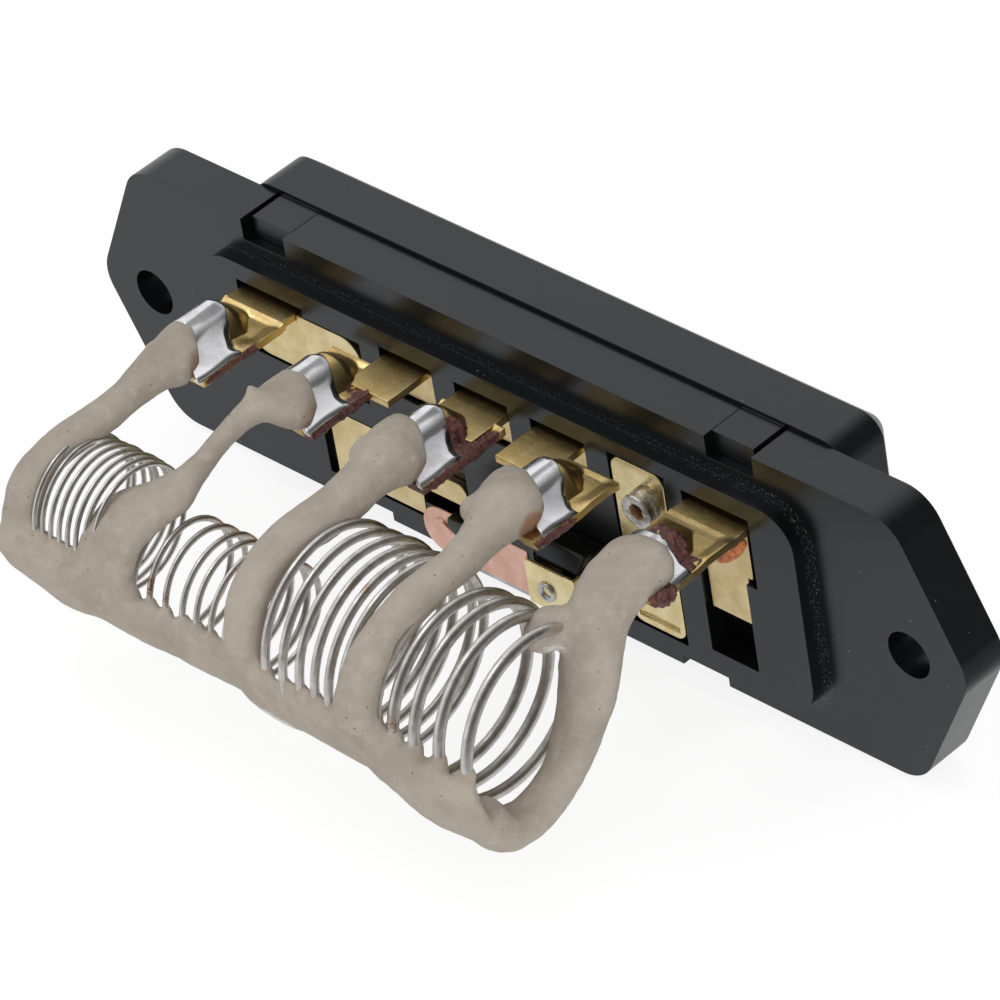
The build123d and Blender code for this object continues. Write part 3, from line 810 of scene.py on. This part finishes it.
# Nubs and swellings of the strands: place, half sizes and tilt
nubs = (
    ((-15.9, -15.4, 11.3), (0.6, 0.7, 1.1), (0.3, -0.3)),
    ((-3.2, -14.3, 9.6), (1.2, 1.8, 1.5)),
    ((10.3, -14.2, 9.0), (1.3, 1.6, 1.4)),
    ((24.6, -20.4, 6.2), (2.2, 2.6, 1.4), (0.4, 0)),
)


def bowed(value, power):
    return math.copysign(abs(value) ** power, value)


def strand_tube(path, slant):
    """A rounded tube of the strand's widths; its end on the tab is cut at a slant."""
    rows = smooth_path(path, 7)
    slants = slant * ramp(-rows[:, 1], 17.5, 11.5) * (np.arange(len(rows)) < 30)
    around = 20
    points = []
    for row, tangent, cut in zip(rows, tangents_of(rows[:, :3]), slants):
        depth = np.cross(tangent, (1, 0, 0))
        depth /= np.linalg.norm(depth)
        for across, along in circle(around):
            side = row[3] * bowed(across, 0.9)
            points.append(row[:3] + np.array((side, -cut * side, 0)) + depth * row[4] * bowed(along, 0.9))
    return points, ring_faces(len(rows), around)


def spine_tube():
    rows = smooth_path(spine_stations, 6)
    around = 28
    points = []
    for x, centre_y, centre_z, inner, outer, top, bottom in rows:
        for along, out in circle(around):
            radius = (inner + outer) / 2 + (outer - inner) / 2 * bowed(out, 0.8)
            turn = math.radians((top + bottom) / 2 + (top - bottom) / 2 * bowed(along, 0.7))
            points.append((x, centre_y - radius * math.cos(turn), centre_z + radius * math.sin(turn)))
    return points, ring_faces(len(rows), around)


def ball(centre, sizes, tilt=(0, 0)):
    """A closed egg of points and faces, tilted about Y and then X."""
    work = bmesh.new()
    bmesh.ops.create_icosphere(work, subdivisions=2, radius=1)
    turn = Matrix.Rotation(tilt[0], 3, "X") @ Matrix.Rotation(tilt[1], 3, "Y")
    points = [turn @ Vector(a * b for a, b in zip(vertex.co, sizes)) + Vector(centre) for vertex in work.verts]
    faces = [tuple(vertex.index for vertex in face.verts) for face in work.faces]
    work.free()
    return points, faces


def along_helix(index, level):
    """The places where a coil's wire passes an angle from the front, 90 being the top."""
    places = []
    turn = (90 - level) / 360
    while turn < coil_rows[index]["Turns"]:
        places.append(helix_place(coil_rows[index], turn))
        turn += 1
    return places


cement_parts = [strand_tube(path, slant) for path, slant in zip(strand_paths, strand_slants)]
cement_parts.append(spine_tube())
# A small collar of cement climbs each wire where it enters the spine
for index, level in enumerate(collar_levels):
    for x, y, z in along_helix(index, level):
        cement_parts.append(ball((x, y + 0.1, z - 0.3), (wire_radius[index] + 0.32, 0.75, 1.3)))
cement_parts += [ball(*nub) for nub in nubs]

points = []
faces = []
for part_points, part_faces in cement_parts:
    start = len(points)
    points += part_points
    faces += [tuple(corner + start for corner in face) for face in part_faces]
cement = add_object("cement", points, faces, cement_paint)
face_outwards(cement)
# Swollen, made one skin and drawn in again, so that narrow clefts fill up
skin_swell, skin_cell = 0.45, 0.27
for width in (skin_swell, -skin_swell):
    modify(cement, "DISPLACE", strength=width * MM, mid_level=0)
    modify(cement, "REMESH", mode="VOXEL", voxel_size=skin_cell * MM)
modify(cement, "SMOOTH", factor=0.5, iterations=5)
apply_modifiers(cement)

points = points_of(cement.data)
normals = triples(cement.data.vertex_normals, "vector")
push = 0.16 * lumps(points, 5.0, 1) + 0.05 * lumps(points, 1.3, 2)
move_points(cement.data, points + normals * push[:, None])
points = points_of(cement.data)
stains = [
    mark(points, (x + 2.8, -12.6, 8.3), 2.4, 0.8, strength, (0.8, 1.0, 1.0))
    for x, strength in zip(tab_x, (0.75, 0.6, 0.5, 1.0))
]
for index, radius in enumerate(wire_radius):
    stains += [mark(points, place, radius + 0.9, radius + 0.1, 0.45) for place in along_helix(index, 6)]
smear = mark(points, (0.5, -34.0, -6.0), 1.9, 0.8, 0.85, (0.28, 0.8, 0.9))
store(
    cement.data,
    shade=ramp(lumps(points, 6.0, 4), 0.1, 0.7) * 0.6,
    stain=np.max(stains, axis=0),
    glaze=np.maximum(smear, mark(points, (26.2, -21.8, 5.0), 2.4, 0.8, 0.55)),
)


# Terminals: flat base, raised tab rolled over the leads, upright and blade

def add_plate(x0, x1, y0, y1, z0, z1, paint):
    """A flat strip with rounded edges."""
    points = [(x, y, z) for x in (x0, x1) for y in (y0, y1) for z in (z0, z1)]
    faces = [(0, 1, 3, 2), (4, 6, 7, 5), (0, 4, 5, 1), (2, 3, 7, 6), (0, 2, 6, 4), (1, 5, 7, 3)]
    obj = add_object("plate", points, faces, paint)
    modify(obj, "BEVEL", width=0.12 * MM, segments=2)
    return apply_modifiers(obj)


# The rolled barrel of each tab: its shift from the middle, its height and where it starts
ridge_shift = (-1.3, -1.2, -1.1, -1.0, -0.9)
ridge_height = (2.0, 2.1, 2.2, 2.2, 1.6)
ridge_start = (3.3, 3.2, 3.2, 3.2, 4.2)
ridge_left = 2.75
crease = 3.1
tab_dip = (0.4, 0.3, 0.32, 0.12, 0.08)
# Where burnt flux lies on the tabs: how far from the middle and how far forward it starts
flux_reach = (0.97, 0.72, 0.12, 0.97, 0.9)
flux_start = (6.4, 5.2, 3.9, 8.4, 9.8)


def tab_level(index, across, y):
    """Height of the tab's top over the shelf: across runs from -1, left, to 1, right."""
    forward = -y
    rise = ramp(forward, ridge_start[index], ridge_start[index] + 3.0)
    from_ridge = across * tab_half - ridge_shift[index]
    # The barrel opens from the crease as a cone, wider towards the right edge
    reach = ridge_left if from_ridge < 0 else 1.0 + 1.9 * rise
    arch = max(0.0, 1 - (abs(from_ridge) / reach) ** 2.2) ** 0.85
    # In front of the crease the strip dips, and its right edge stands up as a lip
    dip = tab_dip[index] * ramp(forward, crease, crease + 0.9) * (1 - arch * rise) * ramp(forward, 8.5, 6.0)
    lip = ramp(across, 0.6, 1.0) * 0.3 * ramp(forward, crease, crease + 1.2) * ramp(forward, 8.2, 6.4)
    return ridge_height[index] * rise * arch - dip + lip


def value_at(source, *where):
    """A number as it is, or what a function gives there."""
    return source(*where) if callable(source) else source


def tab_grid(index, edges, rows, columns, lift, sides, square):
    """Rows of points across the tab between two edges, lifted off its top or straight up."""
    left, right = sides
    beside = 0.02
    points = []
    for row in range(rows):
        share = row / (rows - 1)
        for column in range(columns):
            across = left + (right - left) * column / (columns - 1)
            start, end = (value_at(edge, across) for edge in edges)
            y = start + (end - start) * row / (rows - 1)
            slope = 0.0
            if square:
                ahead, behind = min(across + beside, 1), max(across - beside, -1)
                rise = float(tab_level(index, ahead, y)) - float(tab_level(index, behind, y))
                slope = rise / ((ahead - behind) * tab_half)
            size = math.hypot(1, slope)
            offset = value_at(lift, across, share, y)
            x = tab_x[index] + across * tab_half - offset * slope / size
            points.append((x, y, shelf_top + float(tab_level(index, across, y)) + offset / size))
    return points


def tab_sheet(name, paint, index, edges, rows, columns, top, bottom, sides=(-1.0, 1.0), square=True):
    """A closed sheet on a tab, between two heights off its surface."""
    points = tab_grid(index, edges, rows, columns, top, sides, square)
    points += tab_grid(index, edges, rows, columns, bottom, sides, True)
    half = rows * columns
    faces = []
    for row in range(rows - 1):
        for column in range(columns - 1):
            corner = row * columns + column
            quad = (corner, corner + columns, corner + columns + 1, corner + 1)
            faces += [quad, tuple(half + value for value in reversed(quad))]
    rim = list(range(columns))
    rim += [row * columns + columns - 1 for row in range(1, rows)]
    rim += [(rows - 1) * columns + column for column in range(columns - 2, -1, -1)]
    rim += [row * columns for row in range(rows - 2, 0, -1)]
    for here, following in zip(rim, rim[1:] + rim[:1]):
        faces.append((here, following, half + following, half + here))
    return add_object(name, points, faces, paint)


def amber_crust():
    """Amber flux that ran down the fifth terminal's upright."""
    points, faces = ball((28.3, -1.25, 3.7), (2.9, 0.32, 0.8), (0, -0.785))
    lumpy = []
    for x, y, z in points:
        lumpy.append((x, y - 0.25 * fractal(x * 1.1, 3.0, z * 1.6), z + 0.3 * fractal(x * 1.3, 9.0, 0)))
    return add_object("amber", lumpy, faces, amber_paint)


tab_rear = -3.1
base_rear = -0.4
upright_front = -1.2
terminals = []
for index in range(5):
    tab = tab_sheet("tab", tab_brass, index, (tab_rear, tab_front), 64, 48, 0.0, -strip)
    soften(tab, 0.08, 50)
    store(tab.data, raised=np.ones(len(tab.data.vertices)))
    half = base_width[index] / 2
    base_span = (base_x[index] - half, base_x[index] + half)
    blade_span = (window_x[index] - blade_width / 2, window_x[index] + blade_width / 2)
    base = add_plate(*base_span, base_front[index], base_rear, shelf_top - strip, shelf_top, tab_brass)
    if index == 4:
        # The last terminal's upright hangs down to a lower blade
        rear_parts = [
            add_plate(24.8, 30.55, upright_front, base_rear, 1.3, shelf_top - 0.1, plate_brass),
            amber_crust(),
            add_plate(24.8, 29.9, upright_front + 0.02, base_rear, -4.1, 2.0, plate_brass),
            add_plate(24.8, 29.9, -1.0, blade_end, -4.1, -3.3, plate_brass),
        ]
    else:
        blade = (*blade_span, base_rear - 0.4, blade_end, shelf_top - strip, shelf_top - 0.02)
        rear_parts = [add_plate(*blade, plate_brass)]
    if index in (1, 2, 3):
        rear_parts.append(add_plate(*blade_span, upright_front, base_rear, 3.9, shelf_top - 0.1, plate_brass))
    terminal = join("terminal_strip_" + str(index + 1), tab, base, *rear_parts)
    points = points_of(terminal.data)
    across = (points[:, 0] - tab_x[index]) / tab_half
    forward = -points[:, 1]
    patch = lumps(points, 1.6, index + 11)
    heat = 0.1 * ramp(forward, 5.0, 6.4) + 0.3 * ramp(forward, 6.0, 8.2) * ramp(across, -0.6, 0.7)
    heat += 0.24 * ramp(forward, 5.2, 6.4) * ramp(across, -0.2, -0.8) + 0.22 * patch
    heat = np.where(forward < crease, heat * 0.5 + 0.4, heat)
    flux = ramp(across + 0.2 * patch, flux_reach[index] - 0.12, flux_reach[index] + 0.12)
    raised = np.empty(len(points))
    terminal.data.attributes["raised"].data.foreach_get("value", raised)
    flux *= raised * ramp(forward + 0.6 * patch, flux_start[index] - 0.4, flux_start[index] + 0.5)
    store(terminal.data, heat=np.clip(heat, 0, 1), flux=np.clip(flux, 0, 1))
    sharpen(terminal)
    terminals.append(terminal)


# Solder in a slanted band over each tab, between the bare brass and the cement

# Each band: its back edge at the left and how far it slants forward at the right, then its front edge
solder_bands = (
    (6.0, 2.5, 9.2, 3.6),
    (6.6, 2.0, 9.2, 3.4),
    (6.1, 2.2, 9.0, 3.4),
    (5.9, 2.3, 8.4, 3.0),
    (7.6, 1.1, 9.3, 0.6),
)
under_cement = 1.3
# Burnt flux down each tab's right edge: its two ends, its seed, its height and its width
edge_crusts = (
    (-6.9, -13.5, 3.0, 0.42, 0.2),
    (-6.0, -13.2, 8.0, 0.46, 0.2),
    (-4.6, -13.3, 6.0, 0.52, 0.26),
    (-8.6, -13.3, 12.0, 0.46, 0.26),
    (-10.9, -13.4, 17.0, 0.8, 0.4),
)


def slanted(start, slant):
    """An edge across a tab, start in front of Y = 0 at the left and further at the right."""
    return lambda across: -start - slant * float(ramp(across, -0.3, 0.9))


# Patches of burnt flux by tab: back and front edge, left and right side, height and seed
flux_patches = {
    1: (-5.6, -7.5, 0.42, 0.98, 0.18, 9.0),
    2: (-3.9, -8.0, 0.08, 1.0, 0.34, 5.0),
    4: (slanted(6.0, 0.8), slanted(8.2, 1.4), -0.6, 0.93, 0.3, 15.0),
}


def solder_blob(index):
    back, back_slant, front, front_slant = solder_bands[index]

    def back_edge(across):
        return slanted(back, back_slant)(across) + 0.35 * fractal(across * 1.8, index * 5.1, 1.0)

    def front_edge(across):
        return slanted(front, front_slant)(across) - under_cement

    def thickness(across, share, y):
        """From a thin edge up to a full slope that falls from the barrel to the right edge."""
        crest = ridge_shift[index] / tab_half
        if across > crest:
            slope = 0.14 + 0.86 * max(0.0, 1 - (across - crest) / (1 - crest)) ** 1.35
        else:
            slope = max(0.0, 1 - ((crest - across) / (1 + crest)) ** 2.6) ** 0.7
        wave = fractal(across * 0.95 + index * 9, y * 0.3, 3.3 * index, octaves=1)
        full = (ridge_height[index] + 0.32) * slope + 0.24 * wave
        edge = min(1.0, share / 0.16) ** 0.5 * min(1.0, (1.01 - abs(across)) / 0.08)
        return 0.04 + max(edge, 0.0) * max(0.05, full - float(tab_level(index, across, y)))

    edges = (back_edge, front_edge)
    blob = tab_sheet("blob", solder_paint, index, edges, 60, 72, thickness, -0.25, (-0.97, 1.0), False)
    modify(blob, "SMOOTH", factor=0.5, iterations=6)
    apply_modifiers(blob)
    points = points_of(blob.data)
    across = (points[:, 0] - tab_x[index]) / tab_half
    rim_at = np.array([-back_edge(float(value)) for value in np.clip(across, -1, 1)])
    rim = ramp(-points[:, 1], rim_at + 0.35, rim_at - 0.1) * 0.6
    store(blob.data, rim=np.maximum(rim, ramp(across, 0.86, 1.0) * 0.5))
    return blob


def solder_filler(index):
    """Solder that fills the channel under the tab, twice as wide as it is high."""
    middle = tab_x[index]
    path = smooth_path([(middle - 0.3, y, shelf_top - 0.35) for y in (-8.2, -9.4, -10.6, -11.8, -13.0)], 4)
    points = [(middle - 0.7 + 2.0 * (x - middle + 0.3), y, z) for x, y, z in tube_points(path, 0.7, 16)]
    return add_object("filler", points, ring_faces(len(path), 16), solder_paint)


def flux_crust(index, first, last, left, right, height, seed):
    """A crumbly patch of burnt flux on a tab."""

    def lift(across, share, y):
        side = (across - left) / (right - left)
        ragged = 0.18 * fractal(across * 3 + seed, y * 0.9, 2 * seed)
        edge = min(1, 5 * (min(share, 1 - share) + ragged)) * min(1, 5 * (min(side, 1.1 - side) + ragged))
        rough = fractal(across * 5.5 + seed, y * 1.6, seed, 0.8, 4, 2.1)
        return max(edge, 0) * height * (0.6 + 0.7 * rough) - 0.06

    return tab_sheet("crust", flux_paint, index, (first, last), 60, 60, lift, -0.3, (left, right))


def edge_crust(index, first, last, seed, tall, wide):
    """Burnt flux that ran down the right edge of a tab, as a thin lumpy rope."""
    rows, around = 70, 18
    points = []
    for row in range(rows):
        share = row / (rows - 1)
        y = first + (last - first) * share
        taper = min(1.0, 7 * share, 7 * (1 - share)) ** 0.5
        level = shelf_top + float(tab_level(index, 1.0, y)) - strip / 2
        for out, up in circle(around):
            size = taper * (1 + 0.5 * fractal(out + seed, y * 1.5, up, 0.9, 4))
            points.append((tab_x[index] + tab_half - 0.06 + wide * size * out, y, level + tall * size * up))
    return add_object("edge_crust", points, ring_faces(rows, around), flux_paint)


solders = []
for index in range(5):
    parts = [solder_blob(index), solder_filler(index), edge_crust(index, *edge_crusts[index])]
    if index in flux_patches:
        parts.append(flux_crust(index, *flux_patches[index]))
    solder = join("solder_blob_" + str(index + 1), *parts)
    solder.data.shade_smooth()
    solders.append(solder)


# Mouldings, plates and the cut-out

def box_of(node):
    """The two corners of a solid's box, in millimetres."""
    return [np.array(corner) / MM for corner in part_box(node)]


def cut_plate(name, corners, front, back, paint):
    """A flat plate between two depths, from square corners given as x, z and radius."""
    outline = []
    for number, (x, z, radius) in enumerate(corners):
        place = np.array((x, z))
        ways = []
        for other in (corners[number - 1], corners[(number + 1) % len(corners)]):
            way = np.array(other[:2]) - place
            ways.append(way / np.linalg.norm(way))
        centre = place + radius * (ways[0] + ways[1])
        steps = 12 if radius else 0
        for step in range(steps + 1):
            angle = math.pi / 2 * step / max(steps, 1)
            outline.append(tuple(centre - radius * (ways[1] * math.cos(angle) + ways[0] * math.sin(angle))))
    count = len(outline)
    points = [(x, depth, z) for depth in (front, back) for x, z in outline]
    obj = add_object(name, points, ring_faces(2, count), paint)
    face_outwards(obj)
    soften(obj, 0.1)
    sharpen(obj)
    return obj


flange = copy_node("flange_plate", "flange_moulding", 0.22, flange_plastic)
housing = copy_node("rear_housing", "socket_moulding", 0.22, plastic)
plate_low, plate_high = box_of("link_plate_upper")
notch_x = base_x[0] + base_width[0] / 2 + 0.05
notch_z = shelf_top - strip - 0.02
upper_plate = cut_plate(
    "upper_plate",
    (
        (plate_low[0], plate_low[2], 2.7),
        (plate_high[0], plate_low[2], 1.0),
        (plate_high[0], plate_high[2], 2.4),
        (notch_x, plate_high[2], 0.0),
        (notch_x, notch_z, 0.0),
        (plate_low[0], notch_z, 0.0),
    ),
    plate_low[1], plate_high[1], dotted_brass,
)
lower_plate = copy_node("link_plate_lower", "lower_plate", 0.1, plate_brass)
rivet_plate = copy_node("rivet_plate", "rivet_strip", 0.1, bright_brass)
cutout = copy_node("cutout_block", "cutout_body", 0.3, block_plastic)
steel_leaf = copy_node("steel_leaf", "lower_leaf", 0.05, steel_paint)
leaf_low, leaf_high = box_of("copper_leaf")
fold_low, fold_high = box_of("eyelet_plate")
leaf_front = leaf_high[1] - 0.25
leaf_round = 2.45
# The leaf's upper right corner is cut away behind the folded plate
cut_x = fold_low[0] + 0.1
cut_z = fold_high[2] - 0.9
copper_leaf = cut_plate(
    "leaf",
    (
        (leaf_low[0], leaf_low[2], leaf_round),
        (leaf_high[0], leaf_low[2], 0.0),
        (leaf_high[0], cut_z, 0.0),
        (cut_x, cut_z, 0.0),
        (cut_x, leaf_high[2], 0.0),
        (leaf_low[0], leaf_high[2], leaf_round),
    ),
    leaf_front, leaf_high[1], copper_paint,
)
eyelet_plate = copy_node("eyelet_plate", "folded_plate", 0.08, bright_brass)
button = copy_node("contact_button", "button", 0.12, block_plastic)
# The button shows a little smaller than the solid, drawn in towards its upper right
button_scale = 0.8
button_corner = box_of("contact_button")[1][[0, 2]]
points = points_of(button.data)
points[:, (0, 2)] = button_corner - button_scale * (button_corner - points[:, (0, 2)])
move_points(button.data, points)
# A crescent dimple in the copper leaf
dimple_x, dimple_z, dimple_radius = -4.65, -5.45, 1.1
arc = []
for degrees in range(-14, 151, 6):
    x = dimple_x + dimple_radius * math.cos(math.radians(degrees))
    arc.append((x, leaf_front - 0.04, dimple_z + dimple_radius * math.sin(math.radians(degrees))))
swell = 0.2 * np.sin(np.linspace(0.1, math.pi - 0.1, len(arc)))
copper_leaf = join("upper_leaf", copper_leaf, add_tube("dimple", arc, swell, 12, copper_paint))
sharpen(copper_leaf)


def turned(name, profile, centre_x, centre_z, segments, paint):
    """A ring turned about Y from (radius, y) pairs that close on themselves."""
    points = [
        (centre_x + radius * across, y, centre_z + radius * along)
        for across, along in circle(segments)
        for radius, y in profile
    ]
    obj = add_object(name, points, ring_faces(segments, len(profile), True), paint)
    face_outwards(obj)
    return obj


rivet_x, rivet_z = 19.1, 5.4
rivet = turned(
    "tube_rivet",
    (
        (1.72, -1.58), (1.68, -2.6), (1.55, -3.0), (1.72, -3.2), (1.66, -3.46), (1.35, -3.54),
        (1.0, -3.46), (0.72, -3.3), (0.6, -3.0), (0.6, -1.58),
    ),
    rivet_x, rivet_z, 72, rivet_paint,
)
points = points_of(rivet.data)
crumple = lumps(points, 0.5, 21) * ramp(-points[:, 1], 2.9, 3.2)
points[:, 1] += 0.11 * crumple
points[:, 0] += 0.03 * crumple
move_points(rivet.data, points)
bore = np.hypot(points[:, 0] - rivet_x, points[:, 2] - rivet_z) < 0.85
store(rivet.data, rim=np.where(bore, 1.0, 0.25 + 0.4 * ramp(points[:, 1], -3.1, -2.7)))
eyelet = turned(
    "cutout_eyelet",
    (
        (1.05, -6.37), (1.05, -6.5), (0.98, -6.64), (0.84, -6.7), (0.7, -6.66), (0.58, -6.55),
        (0.5, -6.45), (0.45, -6.37),
    ),
    8.9, -6.3, 56, steel_paint,
)

# What each piece stands for, and the finish that the record gives it
pieces = [
    (cement, "cement", "cement_coating"),
    (flange, "black_plastic", "flange_plate"),
    (housing, "black_plastic", "rear_housing"),
    (upper_plate, "brass", "link_plate_upper"),
    (lower_plate, "brass", "link_plate_lower"),
    (rivet_plate, "brass", "rivet_plate"),
    (rivet, "solder", "hollow_rivet"),
    (cutout, "black_block", "cutout_block"),
    (steel_leaf, "spring_steel", "steel_leaf"),
    (copper_leaf, "copper", "copper_leaf"),
    (eyelet_plate, "brass", "eyelet_plate"),
    (eyelet, "spring_steel", "eyelet"),
    (button, "black_block", "contact_button"),
]
for row, slot, node in (
    (coils, "resistance_wire", "coil_"), (terminals, "brass", "terminal_"), (solders, "solder", "solder_")
):
    pieces += [(piece, slot, node + str(number)) for number, piece in enumerate(row, 1)]
for piece, slot, node in pieces:
    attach(piece, "root")
    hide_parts(node)


# Camera at the photograph's angle

camera_data = bpy.data.cameras.new("camera")
camera_data.sensor_width = 36
camera_data.lens = 264.16
camera_data.clip_start = 0.01
camera_data.clip_end = 10
camera = place_object("camera", camera_data)
right = Vector((0.713835, 0.686972, -0.136048))
up = Vector((-0.346901, 0.515621, 0.783451))
turn = Matrix((right, up, right.cross(up))).transposed().to_4x4()
camera.matrix_world = Matrix.Translation((0.403007, -0.341686, 0.399395)) @ turn
bpy.context.scene.camera = camera


# Studio: white surroundings and a pale floor, with a dark side at the right for contrast in the gloss

def graded_light(tree, source, low, high, dim, bright, diffuse, seen):
    """A strength that glossy rays see graded along X, and other rays see even."""
    point = add_node(tree, "ShaderNodeTexCoord", output=source)
    x = add_node(tree, "ShaderNodeSeparateXYZ", (point,))
    inputs = {"Value": x, "From Min": low, "From Max": high, "To Min": dim, "To Max": bright}
    strength = add_node(tree, "ShaderNodeMapRange", inputs)
    path = add_node(tree, "ShaderNodeLightPath")
    for ray, even in (("Is Diffuse Ray", diffuse), ("Is Camera Ray", seen)):
        strength = path.twin(ray).blend(strength, even)
    return strength


world = bpy.data.worlds.new("studio")
world.use_nodes = True
bpy.context.scene.world = world
background = world.node_tree.nodes["Background"]
feed(world.node_tree, background.inputs["Color"], (1, 1, 1))
strength = graded_light(world.node_tree, "Generated", 0.3, -0.3, 0.12, 0.95, 0.8, 1.0)
feed(world.node_tree, background.inputs["Strength"], strength)

floor_paint = Paint("floor", base_color=(0.2, 0.2, 0.2), roughness=0.9, specular_ior_level=0.0)
strength = graded_light(floor_paint.tree, "Object", 0.066, 0.052, 0.18, 0.6, 0.72, 0.85)
floor_paint.set(emission_color=(1, 1, 1), emission_strength=strength)
floor_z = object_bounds()[0][2] / MM - 0.2
side = 1500
floor_points = [(x * side, y * side, floor_z) for x, y in ((-1, -1), (1, -1), (1, 1), (-1, 1))]
floor = add_object("floor", floor_points, [(0, 1, 2, 3)], floor_paint)


def softbox(name, place, target, size, radiance, glossy=True):
    """A square light of a given brightness, hidden from the camera."""
    data = bpy.data.lights.new(name, "AREA")
    data.shape = "SQUARE"
    data.size = size
    data.energy = radiance * math.pi * size * size
    light = place_object(name, data)
    light.location = place
    light.rotation_euler = (Vector(target) - Vector(place)).to_track_quat("-Z", "Y").to_euler()
    light.visible_camera = False
    light.visible_glossy = glossy


softbox("key", (-0.3, -0.1, 0.7), (0, -0.01, 0), 0.16, 7.0)
softbox("right_fill", (0.5, -0.35, 0.25), (0, -0.01, 0), 0.4, 2.2, False)

bpy.context.scene.view_settings.view_transform = "Standard"
